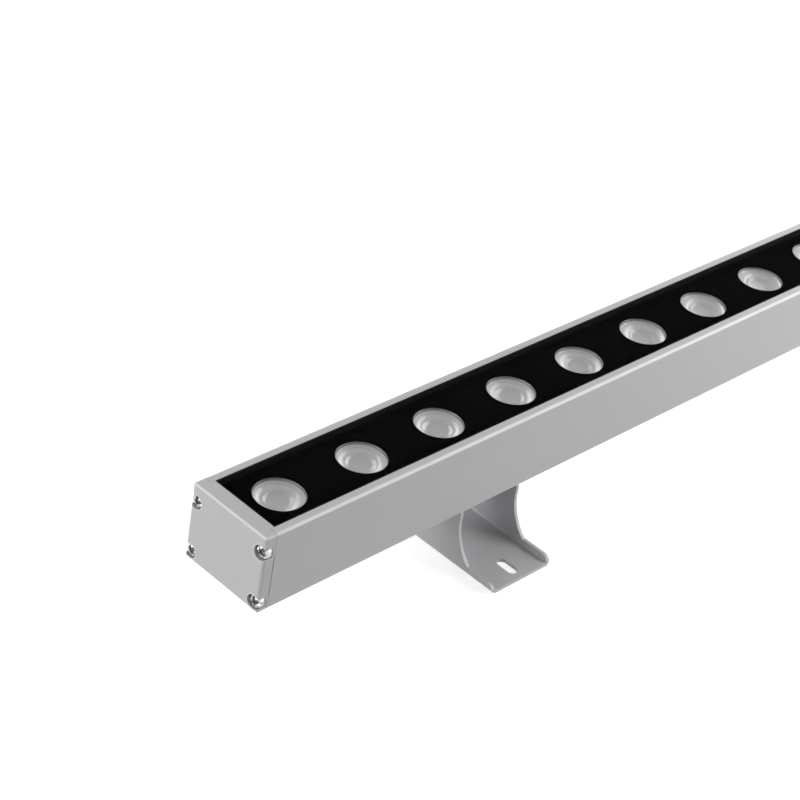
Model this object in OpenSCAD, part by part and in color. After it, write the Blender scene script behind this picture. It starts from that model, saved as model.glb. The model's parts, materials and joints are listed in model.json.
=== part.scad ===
// Linear wall washer light: a sealed aluminium bar of fourteen lenses that tilts on two pressed brackets.
// X runs along the light, Y to its back and Z up. The origin is on the mounting face, under the middle.

/* [Light] */
// Length of the light over both end caps
light_l = 583; // [540:1:700]
// Width of the housing across the light
housing_w = 39.5; // [38.5:0.5:46]
// Height of the housing from its underside to its lips
housing_h = 33.5; // [33:0.5:42]
// Height of the housing's underside over the mounting face
stand_h = 33; // [32:0.5:44]

/* [Housing extrusion] */
// Thickness of the side walls
wall_t = 1.8; // [1.4:0.1:2.2]
// Thickness of the floor
floor_t = 1.8; // [1.4:0.1:2.2]
// Thickness of the shelf that carries the light boards
shelf_t = 2; // [1.6:0.1:2.4]
// Width of each lip beside the glass
lip_w = 3.75; // [3:0.25:5]
// Width of the ledge that the glass rests on
ledge_w = 2.4; // [1.8:0.2:3]
// Thickness of that ledge
ledge_t = 3; // [2.8:0.2:4]
// Radius of the outer edges at the lips
lip_edge_r = 1.2; // [0.6:0.1:1.8]
// Radius of the outer edges at the underside
floor_edge_r = 0.3; // [0.3:0.1:1.2]

/* [End caps] */
// Thickness of an end cap
cap_t = 5; // [4.6:0.1:6]
// Length of the tongue that fills the gap between the lips
tongue_l = 1.9; // [1.4:0.1:4]
// Radius of the cap's outer edges
cap_edge_r = 1.2; // [0.6:0.1:1.4]
// Thickness of the gasket behind a cap
gasket_t = 0.3; // [0.2:0.1:0.8]
// Inset of the cap screws from the housing's sides
screw_side_in = 2.35; // [2.3:0.05:3]
// Depth of the upper cap screws under the lips
screw_top_in = 7.6; // [7.2:0.1:8.2]
// Height of the lower cap screws over the underside
screw_floor_in = 3.7; // [3.6:0.1:4]
// Diameter of the pockets that sink the cap screws
pocket_d = 6.2; // [6.1:0.1:6.8]
// Depth of those pockets
pocket_l = 3.8; // [3:0.1:4]

/* [Glass and lenses] */
// Thickness of the front glass
glass_t = 2.8; // [2.4:0.1:3.2]
// Depth of the glass under the lips
glass_recess = 0.1; // [0.1:0.1:0.3]
// Width of the sealant bead round the glass
bead_w = 0.6; // [0.4:0.1:1]
// Thickness of the black mask under the glass
mask_t = 0.2; // [0.1:0.05:0.4]
// Width of a lens's edge that the mask hides round its window
window_in = 1.25; // [0.9:0.05:1.6]
// Distance from an end face to its nearest lens
lens_end = 24; // [23:0.1:30]
// Gap between a lens and the ledges beside it
lens_side_gap = 2.3; // [1.6:0.1:3]
// Height of a lens over its light board
lens_h = 11; // [10:0.1:12]
// Depth of the dish in a lens's front
dish_depth = 2.2; // [1.6:0.1:3]

/* [Light boards] */
// Thickness of a light board
board_t = 1.6; // [1:0.1:2]
// Side of a light chip
chip_w = 3.5; // [2.8:0.1:4]

/* [Brackets] */
// Distance from an end face to the middle of its bracket
bracket_in = 130.6; // [100:0.2:160]
// Width of a bracket over its two walls
bracket_w = 34; // [30:0.5:40]
// Length of a bracket's foot across the light
foot_l = 73.6; // [70:0.2:90]
// Thickness of the pressed sheet
sheet_t = 1.5; // [1.2:0.1:2]
// Inner radius of the bends between the base and the walls
bend_r = 1; // [0.8:0.1:3]
// Height of the low lips along the foot's sides
foot_lip_h = 3.9; // [3.5:0.1:5]
// Radius of the lips' rounded ends
lip_end_r = 3.5; // [2:0.1:3.5]
// Radius of a wall's hollow front and back edges, past the height of the tilt axis
waist_r_extra = 2; // [1:0.5:6]
// Width of a wall at its waist
waist_w = 28; // [26:0.5:29]
// Drop of the tilt axis under the housing
pivot_drop = 11; // [10.6:0.1:12]
// Length of a mounting slot
slot_l = 10; // [8:0.5:12]
// Width of a mounting slot
slot_w = 4.8; // [4.2:0.1:5.6]
// Distance from a slot's middle to its end of the foot
slot_in = 7.9; // [7:0.1:9]

/* [Tilt joint] */
// Diameter of the pivot bolt
pivot_d = 6; // [5:0.5:6]
// Radius of the eye that turns on the pivot bolt
eye_r = 6; // [5.5:0.1:6.4]
// Thickness of the hinge block's plate under the housing
plate_t = 3; // [2.5:0.1:3.2]

/* [Cable gland] */
// Distance from the far end face to the cable gland
gland_in = 22; // [20:0.5:24]
// Diameter of the gland's thread
gland_d = 12; // [10:0.5:12]
// Diameter of the cable that the gland takes
cable_d = 6.2; // [5:0.2:6.4]

/* [Hidden] */
lens_count = 14;
function two_digits(i) = str(i < 10 ? "0" : "", i);
$fn = 64;

// Clearances and overruns
over = 1; // every cut runs this far past its faces
slip = 0.1; // between pieces that slide together
screw_slip = 0.2; // round a cap screw in its clearance hole, each side
thread_slip = 0.05; // round a screw in its threaded hole, each side
turn_slip = 0.05; // round the pivot bolt in the eye, each side
seam_in = 0.05; // gasket inset where the seam closes
seam_open_in = 1.2; // gasket inset where the seam stands open
seam_open_share = 0.8; // of the height between a cap's screws

// Heights, from the lips down to the shelf
lip_z = stand_h + housing_h;
glass_z = lip_z - glass_recess;
mask_z = glass_z - glass_t;
ledge_z = mask_z - mask_t;
lens_gap = 0.3; // between a lens and the mask
lens_z = ledge_z - lens_gap;
board_top_z = lens_z - lens_h;
shelf_z = board_top_z - board_t;
shelf_under_z = shelf_z - shelf_t;
floor_z = stand_h + floor_t;

// Housing
cavity_w = housing_w - 2 * wall_t;
opening_w = housing_w - 2 * lip_w;
ledge_gap_w = opening_w - 2 * ledge_w;
lens_d = ledge_gap_w - 2 * lens_side_gap;
window_d = lens_d - 2 * window_in;
housing_l = light_l - 2 * (cap_t + gasket_t);
screw_y = housing_w / 2 - screw_side_in;
screw_upper_z = lip_z - screw_top_in;
screw_lower_z = stand_h + screw_floor_in;
port_r = 2.2; // outside of the screw ports
port_top_z = screw_lower_z + port_r;

// Cap screws, deep pan heads with a cross recess
cap_screw_d = 3;
cap_screw_l = 12; // under its head
cap_head_d = 5.8;
cap_head_in = 0.3; // from the cap's face to the top of the head
cap_head_h = pocket_l - cap_head_in;
cap_head_crown = 0.9; // rise of the head's domed top
cross_turns = [20, 65, 40, 5]; // degrees, one for each screw of a cap
cross_w_share = 0.17; // of the head's diameter
cross_l_share = 0.56;
cross_depth_share = 0.45; // of the head's height

// Glass opening
opening_l = light_l - 2 * (cap_t + tongue_l);
glass_l = opening_l - 2 * bead_w;
glass_w = opening_w - 2 * bead_w;
bead_drop = 0.15; // top of the bead under the lips

// Lenses and chips
pitch = (light_l - 2 * lens_end) / (lens_count - 1);
function lens_x(i) = -light_l / 2 + lens_end + (i - 1) * pitch;
lens_rim_t = 1.8;
lens_collar_w = 0.9; // raised collar round the rim
lens_collar_h = 0.7;
lens_rim_w = 0.8; // flat rim between the collar and the dish
dish_floor_r = 5.2;
lens_heel_r = 4.4; // bottom of the lens body
lens_heel_z = 1.6; // height of that bottom over the board
lens_pocket_r = 2.6; // hollow over the chip
lens_pocket_h = 3;
lens_leg_r = 0.9;
lens_leg_in = 1.9; // legs' middles, in from the collar's outside
lens_leg_count = 3;
lens_leg_turn = 90; // degrees, so that no leg points along the boards
body_steps = 10; // steps of the body's curve
chip_base_h = 0.8;
chip_dome_r = 1.3;

// Light boards
board_end = 12; // past the outer lens
board_gap = 8; // between the two boards
board_w = cavity_w - 2 * slip;
board_outer_x = light_l / 2 - lens_end + board_end;
board_screw_d = 2.5;
board_screw_l = 3.4;
board_head_d = 4.6;
board_head_h = 1.8;
board_screw_in = 5.2; // from the side walls
board_screw_y = cavity_w / 2 - board_screw_in;
board_screw_share = [0.5, 3.5]; // of the pitch, in from the outer lens
connector_size = [4, 6.4, 3];
wire_d = 1.2;
wire_bend_r = 2;
wire_y = 1.6;
wire_hole_d = 7;
wire_z = board_top_z + connector_size.z / 2;
wire_lead = 0.8; // straight length out of its connector
wire_x = board_gap / 2 - wire_lead - wire_bend_r;

// Driver board in the lower chamber
driver_share = 0.54; // of the light's length
driver_l = driver_share * light_l;
driver_shift = 45; // of its middle towards the gland
driver_t = 1.6;
driver_w = cavity_w - 2 * slip;
driver_z = port_top_z + slip;
driver_top_z = driver_z + driver_t;
groove_rib_t = 0.9;
groove_rib_w = 1.3;
header_size = [7, 7, 2.6];
driver_chip_size = [10, 6, 1.7];
driver_coil_r = 5;
driver_coil_h = 4.5;
capacitor_r = 3.15;
capacitor_h = 5.6;
terminal_size = [12, 15, 5.4];
part_pitch = 34; // spacing of like parts along the board
part_count = 3;

// Lands under the floor's inside, for the hinge block screws
land_y = 9;
land_w = 8;
land_h = 4.5; // from the underside
land_cut_l = 40; // milled away at the gland's end

// Cable gland, from the housing down
gland_x = light_l / 2 - gland_in;
gland_washer_t = 1.2;
gland_hex = 15; // across its flats
gland_collar_h = 4.5;
gland_nut_h = 3.2;
gland_dome_h = 9;
gland_dome_r = 7.2;
gland_grip_share = 0.6; // of the dome nut's height, its straight part
gland_tip_r = 5;
gland_wall = 1.6;
gland_collar_z = stand_h - gland_washer_t;
gland_dome_z = gland_collar_z - gland_collar_h;
gland_tip_z = gland_dome_z - gland_dome_h;
bush_r = gland_d / 2 - gland_wall;

// Brackets
bracket_x = light_l / 2 - bracket_in;
bend_out_r = bend_r + sheet_t;
slot_span = foot_l - 2 * slot_in;
pivot_z = stand_h - pivot_drop;
tilt_gap = 0.4; // between the wall tops and the housing
wall_top_r = pivot_drop - tilt_gap;
shoulder_h = 3; // straight wall edge over the tilt axis
waist_side = [waist_w / 2, shoulder_h];
tangent_angle = atan2(waist_side.y, waist_side.x) + acos(wall_top_r / norm(waist_side));
waist_r = pivot_z + waist_r_extra;
waist_drop = pivot_z - foot_lip_h / 2; // down to the middle of the foot's lips
waist_foot_y = waist_w / 2 + waist_r - sqrt(pow(waist_r, 2) - pow(waist_drop, 2));
foot_corner_r = 0.8;

// Tilt joint
inner_w = bracket_w - 2 * sheet_t;
friction_t = 1;
eye_l = inner_w - 2 * (friction_t + slip);
plate_gap = 0.3; // beside the hinge plate, each side
plate_l = inner_w - 2 * plate_gap;
plate_w = 25;
web_w = 9;
washer_t = 1.6;
washer_r = 6;
hex_af = 10; // bolt head and nut, across their flats
bolt_head_h = 4;
nut_h = 5;
bolt_tip = 1.5; // thread past the nut
block_screw_d = 4;
block_screw_grip = 3.2; // length in the housing
block_screw_l = plate_t + block_screw_grip;
block_head_r = 3.4;
block_head_h = 2.2;
block_screw_x = 9;

// Colours
light_grey = [0.70, 0.70, 0.71];
bracket_grey = [0.62, 0.62, 0.63];
steel = [0.75, 0.74, 0.72];
deep_black = [0.02, 0.02, 0.025];
lens_white = [0.86, 0.87, 0.88];
board_white = [0.93, 0.93, 0.90];
board_green = [0.10, 0.35, 0.20];
nylon_black = [0.10, 0.10, 0.11];

// Shapes that several pieces use

// An outline drawn in Y and Z, carried along X from x0
module along_x(x0, len) {
    translate([x0, 0, 0]) rotate([90, 0, 90]) linear_extrude(len) children();
}

// An outline drawn in X and Z, carried along Y, centred
module along_y(len) {
    rotate([90, 0, 0]) linear_extrude(len, center = true) children();
}

// A block outline centred across, between two heights, with rounded corners
module block_outline(w, z0, z1, top_r, bottom_r) {
    translate([-w / 2, z0 + bottom_r]) square([w, z1 - z0 - bottom_r - top_r]);
    translate([top_r - w / 2, z0 + bottom_r]) square([w - 2 * top_r, z1 - z0 - bottom_r]);
    translate([bottom_r - w / 2, z0]) square([w - 2 * bottom_r, z1 - z0 - top_r]);
    for (s = [-1, 1]) {
        translate([s * (w / 2 - top_r), z1 - top_r]) circle(top_r);
        translate([s * (w / 2 - bottom_r), z0 + bottom_r]) circle(bottom_r);
    }
}

// A box centred in X and Y that stands on z = 0
module standing_box(size) {
    translate([-size.x / 2, -size.y / 2, 0]) cube(size);
}

// A six-sided prism, by the distance across its flats
module hex_prism(flats, h) {
    cylinder(h = h, r = flats / sqrt(3), $fn = 6);
}

// A pan-head screw: its head stands on z = 0 and its shank runs down
module pan_screw(d, len, head_d, head_h, crown) {
    crown_r = (head_d * head_d / 4 + crown * crown) / (2 * crown);
    difference() {
        union() {
            cylinder(h = head_h - crown, d = head_d);
            intersection() {
                cylinder(h = head_h, d = head_d);
                translate([0, 0, head_h - crown_r]) sphere(crown_r);
            }
            translate([0, 0, -len]) cylinder(h = len, d = d);
        }
        for (a = [0, 90]) rotate(a) translate([0, 0, head_h * (1 - cross_depth_share)])
            standing_box([head_d * cross_l_share, head_d * cross_w_share, head_h]);
    }
}

// Places on the light that several pieces share

// The four cap screw places of an end face, in Y and Z
cap_screw_places = [for (y = [-screw_y, screw_y], z = [screw_lower_z, screw_upper_z]) [y, z]];
module at_cap_screws() {
    for (place = cap_screw_places) translate(place) children();
}

// One end's pieces are drawn at the far end, and mirrored for the near one
module at_end(side) {
    if (side > 0) children();
    else mirror([1, 0, 0]) children();
}

// Board screws, on both sides of two gaps between the lenses of each board
module at_board_screws(side) {
    for (share = board_screw_share, y = [-board_screw_y, board_screw_y])
        translate([side * (lens_x(lens_count) - share * pitch), y, 0]) children();
}

// Hinge block screws of one bracket
module at_block_screws(side) {
    for (x = [-block_screw_x, block_screw_x], y = [-land_y, land_y])
        translate([side * bracket_x + x, y, 0]) children();
}

// Housing extrusion

module housing_section() {
    difference() {
        block_outline(housing_w, stand_h, lip_z, lip_edge_r, floor_edge_r);
        translate([-cavity_w / 2, shelf_z]) square([cavity_w, ledge_z - ledge_t - shelf_z]);
        translate([-cavity_w / 2, floor_z]) square([cavity_w, shelf_under_z - floor_z]);
        translate([-ledge_gap_w / 2, shelf_z]) square([ledge_gap_w, lip_z - shelf_z]);
        translate([-opening_w / 2, ledge_z]) square([opening_w, lip_z + over - ledge_z]);
    }
    at_cap_screws() circle(port_r);
    rib_z = driver_top_z + slip + groove_rib_t / 2;
    for (s = [-1, 1]) translate([s * (cavity_w - groove_rib_w) / 2, rib_z])
        square([groove_rib_w + slip, groove_rib_t], center = true);
}

module screw_ports() {
    at_cap_screws() circle(d = cap_screw_d + 2 * thread_slip);
}

module housing() {
    color(light_grey) difference() {
        union() {
            along_x(-housing_l / 2, housing_l) difference() {
                housing_section();
                screw_ports();
            }
            for (s = [-1, 1]) translate([-housing_l / 2, s * land_y - land_w / 2, stand_h + floor_t / 2])
                cube([housing_l - land_cut_l, land_w, land_h - floor_t / 2]);
        }
        for (side = [-1, 1]) {
            at_board_screws(side) translate([0, 0, shelf_under_z - over])
                cylinder(h = shelf_t + 2 * over, d = board_screw_d + 2 * thread_slip);
            at_block_screws(side) translate([0, 0, stand_h - over])
                cylinder(h = block_screw_grip + thread_slip + over, d = block_screw_d + 2 * thread_slip);
        }
        translate([0, 0, shelf_under_z - over]) cylinder(h = shelf_t + 2 * over, d = wire_hole_d);
        translate([gland_x, 0, stand_h - over]) cylinder(h = floor_t + 2 * over, d = gland_d + 2 * slip);
    }
}

// End caps, their gaskets and screws

module cap_body() {
    cap_x = light_l / 2 - cap_t;
    intersection() {
        along_x(cap_x, cap_t) block_outline(housing_w, stand_h, lip_z, lip_edge_r, floor_edge_r);
        along_y(housing_w) translate([cap_x - cap_t, 0])
            block_outline_end(2 * cap_t, stand_h, lip_z);
        translate([cap_x - cap_t, 0, stand_h]) linear_extrude(housing_h)
            block_outline_plan(2 * cap_t, housing_w);
    }
}

// Side view of a cap, rounded at its outer end only
module block_outline_end(len, z0, z1) {
    square_span = len - cap_edge_r;
    translate([0, z0]) square([square_span, z1 - z0]);
    translate([0, z0 + cap_edge_r]) square([len, z1 - z0 - 2 * cap_edge_r]);
    for (z = [z0 + cap_edge_r, z1 - cap_edge_r]) translate([square_span, z]) circle(cap_edge_r);
}

// Plan of a cap, rounded at its outer end only
module block_outline_plan(len, w) {
    square_span = len - cap_edge_r;
    translate([0, -w / 2]) square([square_span, w]);
    translate([0, cap_edge_r - w / 2]) square([len, w - 2 * cap_edge_r]);
    for (y = [cap_edge_r - w / 2, w / 2 - cap_edge_r]) translate([square_span, y]) circle(cap_edge_r);
}

module end_cap(side) {
    cap_x = light_l / 2 - cap_t;
    color(light_grey) at_end(side) difference() {
        union() {
            cap_body();
            along_x(opening_l / 2, tongue_l + cap_t / 2)
                translate([slip - opening_w / 2, ledge_z + slip])
                square([opening_w - 2 * slip, lip_z - ledge_z - slip]);
        }
        along_x(cap_x - over, cap_t + 2 * over) at_cap_screws() circle(d = cap_screw_d + 2 * screw_slip);
        along_x(light_l / 2 - pocket_l, pocket_l + over) at_cap_screws() circle(d = pocket_d);
    }
}

module end_gasket(side) {
    seam_mid_z = (screw_upper_z + screw_lower_z) / 2;
    seam_open_l = seam_open_share * (screw_upper_z - screw_lower_z);
    color(bracket_grey) at_end(side) along_x(light_l / 2 - cap_t - gasket_t, gasket_t) difference() {
        intersection() {
            housing_section();
            block_outline(housing_w - 2 * seam_in, stand_h + seam_in, lip_z - seam_in,
                lip_edge_r, floor_edge_r);
        }
        at_cap_screws() circle(d = cap_screw_d + 2 * screw_slip);
        for (s = [-1, 1]) translate([s * housing_w / 2, seam_mid_z])
            square([2 * seam_open_in, seam_open_l], center = true);
    }
}

module end_cap_screws() {
    color(steel) for (side = [-1, 1], k = [0:len(cap_screw_places) - 1]) at_end(side)
        translate(concat(light_l / 2 - pocket_l, cap_screw_places[k]))
            rotate([0, 90, 0]) rotate(cross_turns[k])
            pan_screw(cap_screw_d, cap_screw_l, cap_head_d, cap_head_h, cap_head_crown);
}

// Front glass, its sealant bead and the mask with its windows

module front_glass() {
    color([0.80, 0.86, 0.88, 0.4]) translate([0, 0, mask_z]) standing_box([glass_l, glass_w, glass_t]);
}

module glass_seal() {
    seal_h = lip_z - bead_drop - ledge_z;
    color(deep_black) translate([0, 0, ledge_z]) difference() {
        standing_box([opening_l, opening_w, seal_h]);
        translate([0, 0, -over]) standing_box([glass_l, glass_w, seal_h + 2 * over]);
    }
}

module window_mask() {
    color(deep_black) translate([0, 0, ledge_z]) difference() {
        standing_box([glass_l, glass_w, mask_t]);
        for (i = [1:lens_count]) translate([lens_x(i), 0, -over])
            cylinder(h = mask_t + 2 * over, d = window_d);
    }
}

// Lenses and light chips

// Half section of a lens over its board: collar, rim, dished front, flared body and a pocket for the chip
module lens_section() {
    lens_r = lens_d / 2;
    collar_r = lens_r - lens_collar_w;
    dish_r = collar_r - lens_rim_w;
    rim_z = lens_h - lens_collar_h;
    under_z = lens_h - lens_rim_t;
    body_points = [for (k = [0:body_steps]) let (s = k / body_steps)
        [lens_heel_r + (dish_r - lens_heel_r) * sqrt(s), lens_heel_z + (under_z - lens_heel_z) * s]];
    dish_points = [for (k = [0:body_steps]) let (s = k / body_steps)
        [dish_r - (dish_r - dish_floor_r) * s, rim_z - dish_depth * sin(90 * s)]];
    polygon(concat(
        [[0, lens_heel_z + lens_pocket_h], [lens_pocket_r, lens_heel_z + lens_pocket_h],
         [lens_pocket_r, lens_heel_z]],
        body_points,
        [[lens_r, under_z], [lens_r, lens_h], [collar_r, lens_h], [collar_r, rim_z]],
        dish_points,
        [[0, rim_z - dish_depth]]
    ));
}

module lens(i) {
    color(lens_white) translate([lens_x(i), 0, board_top_z]) {
        rotate_extrude() lens_section();
        for (k = [0:lens_leg_count - 1]) rotate(lens_leg_turn + k * 360 / lens_leg_count)
            translate([lens_d / 2 - lens_leg_in, 0, 0])
            cylinder(h = lens_h - lens_rim_t / 2, r = lens_leg_r);
    }
}

module light_chip() {
    standing_box([chip_w, chip_w, chip_base_h]);
    intersection() {
        translate([0, 0, chip_base_h]) sphere(chip_dome_r);
        standing_box([chip_w, chip_w, chip_base_h + chip_dome_r]);
    }
}

// The chips of one light board, half of all
module light_chips(side) {
    color([0.95, 0.85, 0.45]) for (i = [1:lens_count / 2]) at_end(side)
        translate([-lens_x(i), 0, board_top_z]) light_chip();
}

// Light boards, their screws, connectors and wires

module light_board(side) {
    board_l = board_outer_x - board_gap / 2;
    color(board_white) difference() {
        translate([side * (board_gap + board_l) / 2, 0, shelf_z])
            standing_box([board_l, board_w, board_t]);
        at_board_screws(side) translate([0, 0, shelf_z - over])
            cylinder(h = board_t + 2 * over, d = board_screw_d + 2 * slip);
    }
}

module light_board_screws() {
    color(steel) for (side = [-1, 1]) at_board_screws(side) translate([0, 0, board_top_z])
        pan_screw(board_screw_d, board_screw_l, board_head_d, board_head_h, board_head_h / 2);
}

module board_connectors() {
    connector_x = (board_gap + connector_size.x) / 2;
    color(board_white) for (side = [-1, 1])
        translate([side * connector_x, 0, board_top_z]) standing_box(connector_size);
}

// A wire from its connector, over a bend and down to the driver board's header
module board_wire(y) {
    header_z = driver_top_z + header_size.z;
    bend_x = wire_x + wire_bend_r;
    bend_z = wire_z - wire_bend_r;
    translate([bend_x, y, wire_z]) rotate([0, 90, 0]) cylinder(h = board_gap / 2 - bend_x, d = wire_d);
    translate([bend_x, y, bend_z]) rotate([90, 0, 0]) rotate([0, 0, 90])
        rotate_extrude(angle = 90) translate([wire_bend_r, 0]) circle(d = wire_d);
    translate([wire_x, y, header_z]) cylinder(h = bend_z - header_z, d = wire_d);
}

module board_wires() {
    color("firebrick") for (side = [-1, 1], y = [-wire_y, wire_y]) at_end(side) board_wire(y);
}

// Driver board and what it carries

// Places of like parts along the driver board, from its middle
module at_driver_parts(x0, y) {
    for (k = [0:part_count - 1])
        translate([driver_shift + x0 + k * part_pitch, y, driver_top_z]) children();
}

module driver_board() {
    color(board_green) translate([driver_shift, 0, driver_z])
        standing_box([driver_l, driver_w, driver_t]);
}

module driver_header() {
    color(board_white) translate([0, 0, driver_top_z]) standing_box(header_size);
}

module driver_chips() {
    color(nylon_black) at_driver_parts(-part_pitch, driver_w / 4) standing_box(driver_chip_size);
}

module driver_coils() {
    color([0.35, 0.22, 0.15]) at_driver_parts(-part_pitch, -driver_w / 4)
        cylinder(h = driver_coil_h, r = driver_coil_r);
}

module driver_capacitors() {
    color([0.20, 0.24, 0.40]) at_driver_parts(-part_pitch / 2, 0)
        cylinder(h = capacitor_h, r = capacitor_r);
}

module cable_terminal() {
    color(board_green) translate([driver_shift + (driver_l - terminal_size.x) / 2, 0, driver_top_z])
        standing_box(terminal_size);
}

// Cable gland in the floor near the far end

module gland_body() {
    thread_top_z = floor_z + gland_nut_h;
    color(nylon_black) translate([gland_x, 0, 0]) difference() {
        union() {
            translate([0, 0, gland_dome_z]) hex_prism(gland_hex, gland_collar_h);
            translate([0, 0, gland_dome_z - gland_dome_h / 2])
                cylinder(h = thread_top_z - gland_dome_z + gland_dome_h / 2, d = gland_d);
        }
        translate([0, 0, gland_tip_z]) cylinder(h = thread_top_z - gland_tip_z + over, d = cable_d);
        translate([0, 0, gland_tip_z]) cylinder(h = gland_dome_h, r = bush_r + slip);
    }
}

module gland_lock_nut() {
    color(nylon_black) translate([gland_x, 0, floor_z]) difference() {
        hex_prism(gland_hex, gland_nut_h);
        translate([0, 0, -over]) cylinder(h = gland_nut_h + 2 * over, d = gland_d + 2 * thread_slip);
    }
}

module gland_washer() {
    color(deep_black) translate([gland_x, 0, gland_collar_z]) difference() {
        cylinder(h = gland_washer_t, d = gland_hex);
        translate([0, 0, -over]) cylinder(h = gland_washer_t + 2 * over, d = gland_d + 2 * slip);
    }
}

module gland_bush() {
    bush_z = gland_tip_z + gland_wall;
    color(deep_black) translate([gland_x, 0, bush_z]) difference() {
        cylinder(h = gland_dome_z - bush_z, r = bush_r);
        translate([0, 0, -over]) cylinder(h = gland_dome_h + 2 * over, d = cable_d);
    }
}

module gland_dome_nut() {
    flat_h = gland_grip_share * gland_dome_h;
    color(nylon_black) translate([gland_x, 0, 0]) difference() {
        union() {
            translate([0, 0, gland_dome_z - flat_h]) cylinder(h = flat_h, r = gland_dome_r);
            translate([0, 0, gland_tip_z])
                cylinder(h = gland_dome_h - flat_h, r1 = gland_tip_r, r2 = gland_dome_r);
        }
        translate([0, 0, gland_dome_z - gland_dome_h / 2 - slip])
            cylinder(h = gland_dome_h + over, d = gland_d + 2 * thread_slip);
        translate([0, 0, gland_tip_z + gland_wall]) cylinder(h = gland_dome_h, r = bush_r + slip);
        translate([0, 0, gland_tip_z - over]) cylinder(h = gland_dome_h, d = cable_d);
    }
}

// Brackets: a pressed channel with hollow edges, a slotted foot and rounded wall tops

module channel_section() {
    top_z = pivot_z + wall_top_r + over;
    difference() {
        channel_outline(bracket_w, 0, top_z, bend_out_r);
        channel_outline(inner_w, sheet_t, top_z + over, bend_r);
    }
}

// An outline with square upper corners and rounded lower ones
module channel_outline(w, z0, z1, r) {
    translate([-w / 2, z0 + r]) square([w, z1 - z0 - r]);
    translate([r - w / 2, z0]) square([w - 2 * r, z1 - z0]);
    for (s = [-1, 1]) translate([s * (w / 2 - r), z0 + r]) circle(r);
}

// Side view of the bracket, in Y and Z
module bracket_side() {
    difference() {
        translate([-foot_l / 2, 0]) square([foot_l, foot_lip_h]);
        for (s = [-1, 1]) translate([s * foot_l / 2, foot_lip_h]) square(2 * lip_end_r, center = true);
    }
    for (s = [-1, 1]) translate([s * (foot_l / 2 - lip_end_r), foot_lip_h - lip_end_r]) circle(lip_end_r);
    difference() {
        translate([-waist_foot_y, 0]) square([2 * waist_foot_y, pivot_z]);
        for (s = [-1, 1]) translate([s * (waist_w / 2 + waist_r), pivot_z]) circle(waist_r);
    }
    translate([0, pivot_z]) {
        circle(wall_top_r);
        polygon([
            [-waist_side.x, waist_side.y], -waist_side, [waist_side.x, -waist_side.y], waist_side,
            wall_top_r * [cos(tangent_angle), sin(tangent_angle)],
            wall_top_r * [-cos(tangent_angle), sin(tangent_angle)]
        ]);
    }
}

module foot_plan() {
    r = foot_corner_r;
    square([bracket_w - 2 * r, foot_l], center = true);
    square([bracket_w, foot_l - 2 * r], center = true);
    for (x = [r - bracket_w / 2, bracket_w / 2 - r], y = [r - foot_l / 2, foot_l / 2 - r])
        translate([x, y]) circle(r);
}

module slot_cut() {
    straight = slot_l - slot_w;
    translate([0, 0, -over]) linear_extrude(sheet_t + 2 * over) {
        square([slot_w, straight], center = true);
        for (s = [-1, 1]) translate([0, s * straight / 2]) circle(d = slot_w);
    }
}

module bracket(side) {
    color(bracket_grey) translate([side * bracket_x, 0, 0]) difference() {
        intersection() {
            along_y(foot_l) channel_section();
            along_x(-bracket_w, 2 * bracket_w) bracket_side();
            linear_extrude(pivot_z + wall_top_r + over) foot_plan();
        }
        for (s = [-1, 1]) translate([0, s * slot_span / 2, 0]) slot_cut();
        translate([-bracket_w, 0, pivot_z]) rotate([0, 90, 0])
            cylinder(h = 2 * bracket_w, d = pivot_d + 2 * slip);
    }
}

// Hinge blocks under the housing and the screws that hold them

module hinge_block(side) {
    plate_z = stand_h - plate_t;
    color(light_grey) difference() {
        translate([side * bracket_x, 0, 0]) {
            translate([0, 0, plate_z]) standing_box([plate_l, plate_w, plate_t]);
            translate([0, 0, pivot_z]) standing_box([eye_l, web_w, plate_z + plate_t / 2 - pivot_z]);
            translate([-eye_l / 2, 0, pivot_z]) rotate([0, 90, 0]) cylinder(h = eye_l, r = eye_r);
        }
        translate([side * bracket_x - bracket_w, 0, pivot_z]) rotate([0, 90, 0])
            cylinder(h = 2 * bracket_w, d = pivot_d + 2 * turn_slip);
        at_block_screws(side) translate([0, 0, plate_z - over])
            cylinder(h = plate_t + 2 * over, d = block_screw_d + 2 * slip);
    }
}

module hinge_block_screws() {
    color(steel) for (side = [-1, 1]) at_block_screws(side)
        translate([0, 0, stand_h - plate_t]) mirror([0, 0, 1])
            pan_screw(block_screw_d, block_screw_l, 2 * block_head_r, block_head_h, block_head_h / 2);
}

// Pivot bolts, washers and nuts: each bolt's head faces its own end of the light

module along_pivot(side, x) {
    at_end(side) translate([bracket_x + x, 0, pivot_z]) rotate([0, 90, 0]) children();
}

module pivot_bolts() {
    head_x = bracket_w / 2 + washer_t;
    shank_l = bracket_w + 2 * washer_t + nut_h + bolt_tip;
    color(steel) for (side = [-1, 1]) {
        along_pivot(side, head_x) hex_prism(hex_af, bolt_head_h);
        along_pivot(side, head_x - shank_l) cylinder(h = shank_l + bolt_head_h / 2, d = pivot_d);
    }
}

module ring(r, hole_d, h) {
    difference() {
        cylinder(h = h, r = r);
        translate([0, 0, -over]) cylinder(h = h + 2 * over, d = hole_d);
    }
}

module pivot_washers() {
    color(steel) for (side = [-1, 1], x = [-bracket_w / 2 - washer_t, bracket_w / 2])
        along_pivot(side, x) ring(washer_r, pivot_d + 2 * slip, washer_t);
}

module friction_washers() {
    color(nylon_black) for (side = [-1, 1], x = [-inner_w / 2, inner_w / 2 - friction_t])
        along_pivot(side, x) ring(washer_r, pivot_d + 2 * slip, friction_t);
}

module pivot_nuts() {
    color(steel) for (side = [-1, 1]) along_pivot(side, -bracket_w / 2 - washer_t - nut_h) difference() {
        hex_prism(hex_af, nut_h);
        translate([0, 0, -over]) cylinder(h = nut_h + 2 * over, d = pivot_d + 2 * thread_slip);
    }
}

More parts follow.
